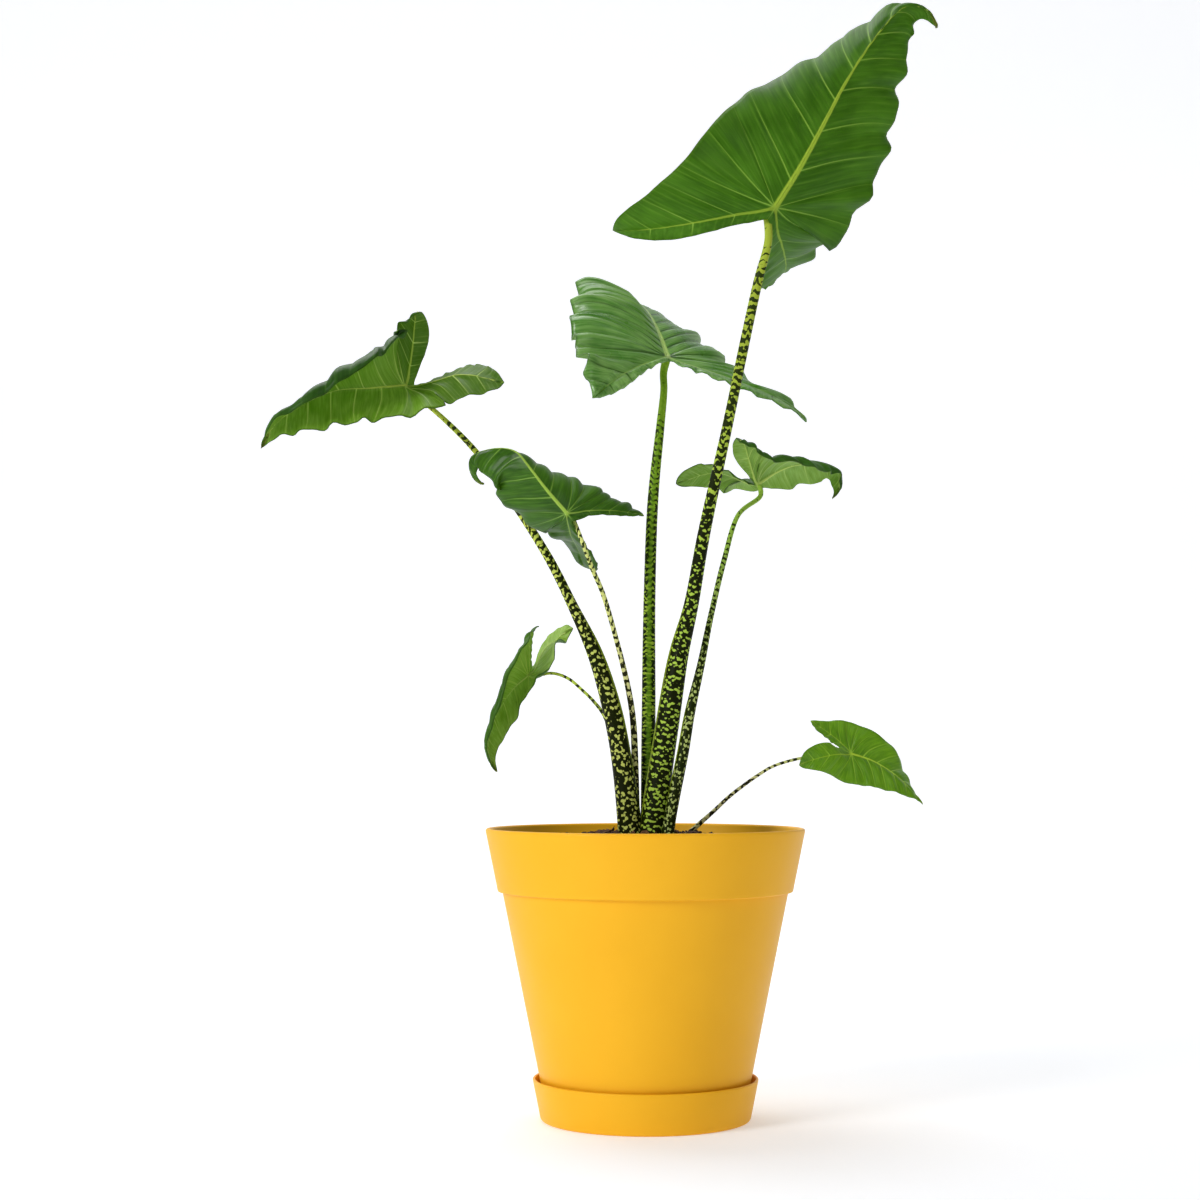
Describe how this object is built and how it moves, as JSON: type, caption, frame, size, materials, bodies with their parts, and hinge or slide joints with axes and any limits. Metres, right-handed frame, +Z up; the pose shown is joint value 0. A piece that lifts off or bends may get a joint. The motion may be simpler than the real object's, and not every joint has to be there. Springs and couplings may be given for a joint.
{
  "type": "potted zebrina alocasia",
  "caption": "Potted aroid house plant with arrow-shaped leaves on tall mottled stalks, in a round banded plastic pot with its own saucer.",
  "frame": {"origin": "middle of the saucer's flat underside", "axes": "+Z up along the pot's axis, +X to the viewer's right, -Y towards the viewer"},
  "size_m": [0.5214, 0.2733, 0.8759],
  "materials": {
    "yellow_plastic_saucer": "satin moulded",
    "yellow_plastic_pot": "satin moulded",
    "corm_skin": "rough dried skin",
    "potting_soil": "loose damp",
    "mottled_stalk_top": "waxy, mottled",
    "leaf_top": "waxy satin",
    "mottled_stalk_middle": "waxy, mottled",
    "leaf_middle": "waxy satin",
    "mottled_stalk_left": "waxy, mottled",
    "leaf_left": "waxy satin",
    "mottled_stalk_midLeft": "waxy, mottled",
    "leaf_midLeft": "waxy satin",
    "mottled_stalk_right": "waxy, mottled",
    "leaf_right": "waxy satin",
    "mottled_stalk_lowLeft": "waxy, mottled",
    "leaf_lowLeft": "waxy satin",
    "mottled_stalk_lowRight": "waxy, mottled",
    "leaf_lowRight": "waxy satin"
  },
  "bodies": {
    "root": {"saucer": "yellow_plastic_saucer", "pot": "yellow_plastic_pot", "corm": "corm_skin", "soil": "potting_soil", "stalk_top": "mottled_stalk_top", "blade_top": "leaf_top", "stalk_middle": "mottled_stalk_middle", "blade_middle": "leaf_middle", "stalk_left": "mottled_stalk_left", "blade_left": "leaf_left", "stalk_mid_left": "mottled_stalk_midLeft", "blade_mid_left": "leaf_midLeft", "stalk_right": "mottled_stalk_right", "blade_right": "leaf_right", "stalk_low_left": "mottled_stalk_lowLeft", "blade_low_left": "leaf_lowLeft", "stalk_low_right": "mottled_stalk_lowRight", "blade_low_right": "leaf_lowRight"}
  },
  "joints": []
}
